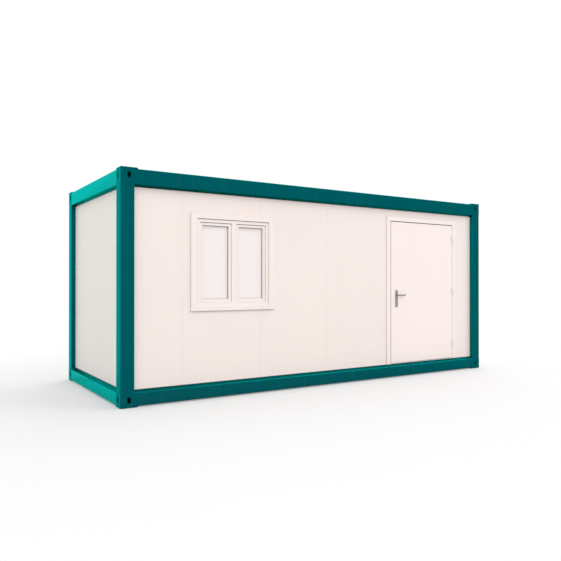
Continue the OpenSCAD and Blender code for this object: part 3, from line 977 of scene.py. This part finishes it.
def makeDoorSeal():
    # a soft lip on the stop, on the head and both sides
    look = doorLook
    low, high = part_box("door_leaf")
    lap, width = look["sealLap"], look["sealWidth"]
    y1 = high.y + look["stopGap"]
    y0 = y1 - look["sealDepth"]
    left, right, top = low.x + lap, high.x - lap, high.z - lap
    strips = [block("strip", (x0, y0, z0), (x1, y1, top))
              for x0, x1, z0 in ((left, left + width, low.z), (right - width, right, low.z),
                                 (left + width, right - width, top - width))]
    for strip in strips:
        openEdit(strip)
        markSide(strip, 1, -1)
        bpy.ops.mesh.inset(thickness=look["sealInset"])
        push((0, look["sealGroove"], 0))
        closeEdit()
        roundEdges(strip, look["sealEdge"], 2, 20)
    done(joinAll("door_seal", strips), sealAndShadeRubber)
    # a dark strip in the gap between leaf and frame, on the head and the lock side: painted shade that
    # darkens the gap's shadow line
    y0, y1 = low.y - look["beadProud"], low.y + look["beadDepth"]
    left, inner = low.x - look["gap"], low.x - look["gap"] + look["gapBead"]
    top = high.z + look["gap"]
    head = softBlock("bead", (inner, y0, top - look["gapBead"] - look["gapHead"]),
                     (high.x + look["gap"] - look["beadLap"], y1, top + look["flange"]),
                     look["sealEdge"])
    jamb = softBlock("bead", (left - look["beadLap"], y0, low.z), (inner, y1, top + look["flange"]),
                     look["sealEdge"])
    done(joinAll("door_gap_bead", [head, jamb]), sealAndShadeRubber)


screwShape = {"rim": 0.25, "crown": 0.25, "drive": 0.35, "driveDeep": 0.6}     # of radius and height


def screwHead(place, sign, radius, tall):
    # a pan head with a square drive, its axis along Y
    x, y, z = place
    head = rod("screw", (x, y + sign * tall / 2, z), radius, tall, "Y", 12)
    openEdit(head)
    markSide(head, 1, sign)
    bpy.ops.mesh.inset(thickness=radius * screwShape["rim"])
    push((0, sign * tall * screwShape["crown"], 0))
    bpy.ops.mesh.inset(thickness=radius * screwShape["drive"])
    pull((0, -sign * tall * screwShape["driveDeep"], 0))
    closeEdit()
    smoothBy(head, 35)
    return head


hingeShape = {
    "half": 0.05,             # half a hinge's length
    "pin": (0.0038, 0.104), "headGrow": 1.75, "headTall": 0.004, "headEdge": 0.0015,
    "screwHead": 0.0042, "screwTall": 0.0012, "screwFace": 0.003,
    "screwOut": 0.024, "screwUp": (0.012, 0.038),      # from the pin, and from the hinge's middle
}


def makeHingeParts():
    shape = hingeShape
    joint = next(j for j in frame["joints"] if j["name"] == "door_hinge")
    x, y, middle = joint["pos_m"]
    apart = middle - (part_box("door_hinges_frame_side")[0].z + shape["half"])
    heights = (middle - apart, middle, middle + apart)
    pins = []
    for z in heights:
        pin = rod("pin", (x, y, z), *shape["pin"])
        openEdit(pin)
        for sign in (1, -1):
            markSide(pin, 2, sign)
            pull((0, 0, 0))
            bpy.ops.transform.resize(value=(shape["headGrow"], shape["headGrow"], 1))
            pull((0, 0, sign * shape["headTall"]))
            bpy.ops.mesh.bevel(offset=shape["headEdge"], segments=2)
        closeEdit()
        smoothBy(pin, 40)
        pins.append(pin)
    done(joinAll("door_hinge_pins", pins), hingeSteel)
    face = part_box("door_leaf")[0].y - shape["screwFace"]
    for side, body, sign in (("leaf", "door", 1), ("frame", "cabin", -1)):
        spots = [(x - sign * shape["screwOut"], face, z + sign * up)
                 for z in heights for up in shape["screwUp"]]
        first = screwHead(spots[0], -1, shape["screwHead"], shape["screwTall"])
        done(repeat(first, "door_hinge_screws_" + side, spots), brightZinc, body)


lockLook = {
    "keyDown": 0.085, "coreRadius": 0.0046, "coreShort": 0.003, "coreRim": 0.0012,
    "slotWide": 0.35, "slotDeep": 0.006,
    "screwIn": 0.014, "screwHead": 0.0045, "screwTall": 0.0014,
    "collarRadius": 0.0155, "collarTall": 0.004, "collarRim": 0.003, "collarDish": 0.0012,
    "latchUp": 0.04, "latchHeight": 0.22, "latchWidth": 0.022, "latchOut": 0.0016,
    "tongueOut": 0.0062, "tongueHalf": (0.007, 0.018),
    "keeperHalf": 0.013, "keeperBar": 0.006, "keeperOut": 0.0012, "sunk": 0.0002,
    "plateEdge": 0.0008, "tongueEdge": 0.001, "tongueTaper": (1, 0.55, 0.9),
}


def makeLockParts():
    look = lockLook
    low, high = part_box("door_lock_plates")
    leafLow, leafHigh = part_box("door_leaf")
    x = (low.x + high.x) / 2
    axisZ = next(j for j in frame["joints"] if j["name"] == "handle_turn")["pos_m"][2]
    keyZ = axisZ - look["keyDown"]
    core = rod("door_lock_core", (x, (low.y + high.y) / 2, keyZ), look["coreRadius"],
               high.y - low.y - look["coreShort"], "Y", 20)
    openEdit(core)
    for sign in (1, -1):
        markSide(core, 1, sign)
        bpy.ops.mesh.inset(thickness=look["coreRim"])
        pull((0, -sign * look["coreRim"], 0))
        bpy.ops.transform.resize(value=(look["slotWide"], 1, 1))
        pull((0, -sign * look["slotDeep"], 0))
    closeEdit()
    done(core, hingeSteel, "door")
    for side, face, sign in (("outer", low.y, -1), ("inner", high.y, 1)):
        spots = [(x, face, low.z + look["screwIn"]), (x, face, high.z - look["screwIn"])]
        first = screwHead(spots[0], sign, look["screwHead"], look["screwTall"])
        done(repeat(first, "door_plate_screws_" + side, spots), handleSteel, "door")
        collar = rod("door_handle_collar_" + side, (x, face + sign * look["collarTall"] / 2, axisZ),
                     look["collarRadius"], look["collarTall"], "Y", 32)
        openEdit(collar)
        markSide(collar, 1, sign)
        bpy.ops.mesh.inset(thickness=look["collarRim"])
        push((0, -sign * look["collarDish"], 0))
        closeEdit()
        roundEdges(collar, look["plateEdge"], 2, 50)
        done(collar, handleSteel, "door")
    # latch in the leaf's edge and its keeper in the frame
    y = (leafLow.y + leafHigh.y) / 2
    half, wide = look["latchHeight"] / 2, look["latchWidth"] / 2
    z = keyZ + look["latchUp"]
    plate = softBlock("plate", (leafLow.x - look["latchOut"], y - wide, z - half),
                      (leafLow.x + 2 * look["sunk"], y + wide, z + half), look["plateEdge"])
    deep, tall = look["tongueHalf"]
    tongue = block("tongue", (leafLow.x - look["tongueOut"], y - deep, axisZ - tall),
                   (leafLow.x, y + deep, axisZ + tall))
    openEdit(tongue)
    markSide(tongue, 0, -1)
    bpy.ops.transform.resize(value=look["tongueTaper"])
    closeEdit()
    roundEdges(tongue, look["tongueEdge"], 2)
    done(joinAll("door_latch", [plate, tongue]), handleSteel, "door")
    gapFace = leafLow.x - doorLook["gap"]
    keeper = openFrame("door_latch_keeper", (gapFace - look["sunk"], y - look["keeperHalf"], z - half),
                       (gapFace + look["keeperOut"], y + look["keeperHalf"], z + half),
                       look["keeperBar"], 0)
    done(keeper, handleSteel)


treadLayout = {"rise": 0.004, "thick": 0.0025, "front": 0.004, "back": 0.052,
               "firstRib": 0.010, "ribs": 5, "ribPitch": 0.008, "ribHalf": 0.0015, "ribTall": 0.0015,
               "seamStart": 0.001, "seamFoot": 0.012}       # the sill has no seam


def makeThreshold():
    # a ribbed tread on the sill, under the leaf, and the casing's sealant
    layout = treadLayout
    leafLow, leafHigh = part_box("door_leaf")
    frameLow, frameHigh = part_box("door_frame")
    sill = frameLow.z + layout["rise"]
    top = sill + layout["thick"]
    tread = block("door_tread", (leafLow.x, leafLow.y + layout["front"], sill),
                  (leafHigh.x, leafLow.y + layout["back"], top))
    ribs = around([leafLow.y + layout["firstRib"] + k * layout["ribPitch"]
                   for k in range(layout["ribs"])], layout["ribHalf"])
    cutAcross(tread, 1, ribs)
    pressIn(tread, 1, ribs, 2, top, layout["ribTall"])
    done(tread, treadMetal)
    sealantLine("door_seam", frameLow, frameHigh, layout["seamStart"], layout["seamFoot"])


makeDoor()
makeLeaf()
makeDoorSeal()
makeHingeParts()
makeLockParts()
makeThreshold()
print("door made")


# roof

roofLook = {
    "ribPitch": 0.25, "ribs": 22, "sheetThick": 0.002,
    "flashWide": 0.085, "sheet": 0.0018, "upstand": 0.030, "upstandThick": 0.004,
    "drip": 0.010, "dripTall": 0.006, "ribTall": 0.0285,
    "closureIn": 0.052, "closureBack": 0.004, "closureThick": 0.008, "closureGap": (0.0002, 0.0003),
    "cornerOut": 0.034, "cornerLap": 0.012, "cornerRise": (0.0002, 0.0020), "cornerCut": 0.008,
    "screwRadius": 0.0085, "screwTall": 0.0055, "washer": 0.0024, "edgeScrew": 0.05,
    "joists": 9, "joistReach": 2.81, "rows": (-0.72, -0.36, 0, 0.36, 0.72),
    "foldEdge": 0.0008, "cornerEdge": 0.0006, "washerStep": 0.38,
}


def flashing(name, low, high, axis):
    # a flat strip on the ribs with its outer edge folded up against the rail and a drip edge inside
    piece = block(name, low, high)
    other = 1 - axis
    thick = roofLook["upstandThick"]
    cutAcross(piece, other, [low[other] + thick])
    openEdit(piece)
    markFaces(piece, lambda c, n: n.z > 0.9 and abs(c[other] - low[other] - thick / 2) < 0.0015)
    pull((0, 0, roofLook["upstand"] - roofLook["sheet"]))
    closeEdit()
    openEdit(piece)
    markFaces(piece, lambda c, n: abs(n[other]) > 0.9 and abs(c[other] - high[other]) < 0.0002)
    move = oneWay(other, roofLook["drip"])
    move[2] = -roofLook["dripTall"] if axis == 0 else -roofLook["ribTall"]    # the ends reach the pan
    pull(move)
    closeEdit()
    roundEdges(piece, roofLook["foldEdge"], 1, 50)
    return piece


def roofScrew(place):
    # a hexagon head on a wide washer
    x, y, z = place
    thick = roofLook["washer"]
    washer = rod("washer", (x, y, z + thick / 2), roofLook["screwRadius"], thick, "Z", 10)
    openEdit(washer)
    markSide(washer, 2, 1)
    bpy.ops.mesh.inset(thickness=roofLook["screwRadius"] * roofLook["washerStep"])
    pull((0, 0, roofLook["screwTall"] - thick))
    closeEdit()
    return washer


def makeRoof():
    look = roofLook
    low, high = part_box("roof_sheet")
    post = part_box("corner_post_front_left")[1]
    z0 = high.z
    z1 = z0 + look["sheet"]
    innerX, innerY = low.x + look["flashWide"], low.y + look["flashWide"]
    front = flashing("roof_flashing_front", (post.x, low.y, z0), (-post.x, innerY, z1), 0)
    pieces = [front, mirrorOf(front, "roof_flashing_back", 1)]
    left = flashing("roof_flashing_left", (low.x, post.y, z0), (innerX, -post.y, z1), 1)
    pieces += [left, mirrorOf(left, "roof_flashing_right", 0)]
    # a strip under the flashing fills the rib ends
    x, y = post.x + look["closureIn"], innerY - look["closureBack"]
    under, over = look["closureGap"]
    pan = low.z + look["sheetThick"]
    closure = softBlock("roof_closure_front", (x, y - look["closureThick"], pan + under),
                        (-x, y, z0 - over), look["foldEdge"], 1, 50)
    # a plate laid over the ends of two flashings, its free corner cut back
    out, lap, cut = look["cornerOut"], look["cornerLap"], look["cornerCut"]
    rise, top = look["cornerRise"]
    corner = block("corner", (post.x - out, post.y - out, z1 + rise),
                   (innerX - lap, innerY - lap, z1 + top))
    openEdit(corner, "VERT")
    markPoints(corner, lambda p: p.x > innerX - lap - 0.001 and p.y > innerY - lap - 0.001)
    push((-cut, -cut, 0))
    closeEdit()
    roundEdges(corner, look["cornerEdge"], 1, 50)
    pieces += [closure] + fourOf(corner, "roof_corner")
    pieces.append(mirrorOf(closure, "roof_closure_back", 1))
    doneAll(pieces, zinc)
    # screws along both edges on every rib, and in the pans over the cross members
    pitch = look["ribPitch"]
    first = -(look["ribs"] - 1) / 2 * pitch
    spots = [(first + k * pitch, y, z1) for k in range(look["ribs"])
             for y in (low.y + look["edgeScrew"], high.y - look["edgeScrew"])]
    for j in range(1, look["joists"] - 1):
        joist = (j / (look["joists"] - 1) - 0.5) * 2 * look["joistReach"]
        inPan = first + pitch / 2
        x = round((joist - inPan) / pitch) * pitch + inPan
        spots += [(x, y, pan) for y in look["rows"]]
    done(repeat(roofScrew(spots[0]), "roof_screws", spots), brightZinc)


makeRoof()
print("roof made")


# room: corner trims, skirting, ceiling

roomLook = {"trim": 0.0025, "trimGap": 0.0005, "skirting": 0.06, "skirtingThick": 0.010,
            "splay": (0.012, 0.007), "boardGap": 0.004, "doorLap": 0.03, "edge": 0.001,
            "ceilingJoints": range(1, 22, 4), "jointHalf": 0.008, "jointFloor": 0.002,
            "jointDepth": 0.004}


def makeTrims():
    # angle trims over the posts' inner corners
    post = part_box("corner_post_front_left")[1]
    wallLow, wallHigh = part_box("front_wall_left")
    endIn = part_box("left_wall")[1].x
    thick = roomLook["trim"]
    x, y = post.x + roomLook["trimGap"], post.y + roomLook["trimGap"]
    trim = block("trim", (x, wallHigh.y, wallLow.z), (x + thick, y, wallHigh.z))
    openEdit(trim)
    markSide(trim, 1, 1)
    pull((0, thick, 0))
    markFaces(trim, lambda c, n: n.x < -0.9 and c.y > y)
    pull((endIn - x, 0, 0))
    closeEdit()
    roundEdges(trim, roomLook["edge"], 2)
    doneAll(fourOf(trim, "room_corner_trim"), wallPaint)


def makeSkirting():
    # boards with a splayed top
    tall, thick = roomLook["skirting"], roomLook["skirtingThick"]
    down, back = roomLook["splay"]
    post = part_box("corner_post_front_left")[1]
    wallLow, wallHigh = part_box("front_wall_left")
    doorLow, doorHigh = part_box("door_frame")
    backIn, endIn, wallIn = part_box("back_wall")[0].y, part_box("left_wall")[1].x, wallHigh.y
    x, y = post.x + roomLook["boardGap"], post.y + roomLook["boardGap"]
    lap, top = roomLook["doorLap"], wallLow.z + tall
    for name, x0, y0, x1, y1, axis, sign in (
            ("back", x, backIn - thick, -x, backIn, 1, -1),
            ("front_left", x, wallIn, doorLow.x + lap, wallIn + thick, 1, 1),
            ("front_right", doorHigh.x - lap, wallIn, -x, wallIn + thick, 1, 1),
            ("left", endIn, y, endIn + thick, -y, 0, 1),
            ("right", -endIn - thick, y, -endIn, -y, 0, -1)):
        board = block("skirting_" + name, (x0, y0, wallLow.z), (x1, y1, top))
        free = ((x1, y1) if sign > 0 else (x0, y0))[axis]
        cutAcross(board, 2, [top - down])
        openEdit(board, "VERT")
        markPoints(board, lambda p: p.z > top - 0.001 and abs(p[axis] - free) < 1e-5)
        push(oneWay(axis, -sign * back))
        closeEdit()
        roundEdges(board, roomLook["edge"], 2, 20)
        done(board, profilePaint)


def jointedSheet(sheet, under, places, rim, floor, depth):
    # a flat sheet with shallow grooves in its lower face
    floors = around(places, floor)
    cutAcross(sheet, 0, around(places, rim) + floors)
    pressIn(sheet, 0, floors, 2, under, depth)
    return sheet


def makeCeiling():
    first = cadBox[0].x + wallLook["firstFlute"]
    places = [first + k * wallLook["pitch"] for k in roomLook["ceilingJoints"]]
    ceiling = jointedSheet(workingCopy("ceiling_panel", "ceiling_jointed"),
                           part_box("ceiling_panel")[0].z, places, roomLook["jointHalf"],
                           roomLook["jointFloor"], roomLook["jointDepth"])
    done(ceiling, ceilingPaint)


makeTrims()
makeSkirting()
makeCeiling()
print("room finished")


# sheet under the floor

underLook = {"lapEvery": 0.96, "laps": 6, "half": 0.020, "floor": 0.010, "depth": 0.0016}
lapPlaces = [(k - (underLook["laps"] - 1) / 2) * underLook["lapEvery"]
             for k in range(underLook["laps"])]
swaged = jointedSheet(workingCopy("underfloor_sheet", "underfloor_sheet_swaged"),
                      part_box("underfloor_sheet")[0].z, lapPlaces, underLook["half"],
                      underLook["floor"], underLook["depth"])
done(swaged, zinc)
print("underside finished")


# finishes of the nodes that stay as they are

keptFinish = {
    "floor_cross_members": zinc, "roof_cross_members": zinc, "roof_sheet": zinc,
    "floor_deck": vinyl, "window_panes": opal,
}
for nodeName, material in keptFinish.items():
    node = frame["nodes"][nodeName]
    if not node.data.materials:
        node.data.materials.append(material)
    for holder in node.material_slots:
        holder.material = material
print("kept nodes finished")


# floor, light and camera

studioLook = {
    "floorSize": 160, "floorDown": 0.001, "floorColour": (0.60, 0.60, 0.598), "floorLift": 0.24,
    "skyLight": 0.86,
    "lamps": (                # name, strength, softness, the way to it
        ("front_lamp", 0.67, 60, (-0.30, -0.80, 0.50)),
        ("key_lamp", 0.50, 30, (0.62, -0.45, 0.62)),
        ("side_lamp", 0.90, 60, (0.55, 0.35, 0.76))),
}
cameraLook = {"place": (-5.052, -7.701, 1.402), "towards": (0.5388, 0.8424, 0.0038),
              "lens": 38.1, "sensor": 36, "farEnd": 400}


def seenDirectly(tree):
    # by the camera, in a gloss or through a clear piece
    rays = newNode(tree, "LightPath", {}).outputs
    return sums(tree, "ADD", rays["Is Camera Ray"],
                sums(tree, "ADD", rays["Is Glossy Ray"], rays["Is Transmission Ray"]))


def makeFloor():
    floor = fresh("studio_floor", bpy.ops.mesh.primitive_plane_add, size=studioLook["floorSize"],
                  location=(0, 0, -studioLook["floorDown"]))
    material, tree, shader, here = newMaterial("studio_floor")
    tree.nodes.remove(shader)
    matt = newNode(tree, "BsdfDiffuse", {"Color": studioLook["floorColour"]})
    seen = sums(tree, "MINIMUM", seenDirectly(tree), 1.0)
    glow = newNode(tree, "Emission",
                   {"Strength": sums(tree, "MULTIPLY", seen, studioLook["floorLift"])})
    both = newNode(tree, "AddShader", {0: matt.outputs["BSDF"], 1: glow.outputs["Emission"]})
    clear = newNode(tree, "BsdfTransparent", {})
    side = newNode(tree, "NewGeometry", {})
    choose = newNode(tree, "MixShader", {       # the floor is clear from below
        0: side.outputs["Backfacing"], 1: both.outputs["Shader"], 2: clear.outputs["BSDF"]})
    tree.links.new(choose.outputs["Shader"], tree.nodes["Material Output"].inputs["Surface"])
    floor.data.materials.append(material)


def makeSky():
    world = bpy.data.worlds.new("studio_sky")
    bpy.context.scene.world = world
    world.use_nodes = True
    tree = world.node_tree
    level = spread(tree, seenDirectly(tree), 0, 1, studioLook["skyLight"], 1.0)
    feed(tree, tree.nodes["Background"], {"Color": (1, 1, 1), "Strength": level})


def makeLamp(name, strength, angle, source):
    lamp = bpy.data.lights.new(name, "SUN")
    lamp.energy = strength
    lamp.angle = math.radians(angle)
    holder = bpy.data.objects.new(name, lamp)
    bpy.context.scene.collection.objects.link(holder)
    holder.rotation_euler = Vector(source).to_track_quat("Z", "Y").to_euler()


def makeCamera():
    data = bpy.data.cameras.new("camera")
    data.lens = cameraLook["lens"]
    data.sensor_width = cameraLook["sensor"]
    data.clip_end = cameraLook["farEnd"]
    camera = bpy.data.objects.new("camera", data)
    bpy.context.scene.collection.objects.link(camera)
    camera.location = cameraLook["place"]
    camera.rotation_euler = Vector(cameraLook["towards"]).to_track_quat("-Z", "Y").to_euler()
    bpy.context.scene.camera = camera


makeFloor()
makeSky()
for lampName, strength, softness, source in studioLook["lamps"]:
    makeLamp(lampName, strength, softness, source)
makeCamera()
bpy.context.scene.view_settings.view_transform = "Standard"
print("studio ready")
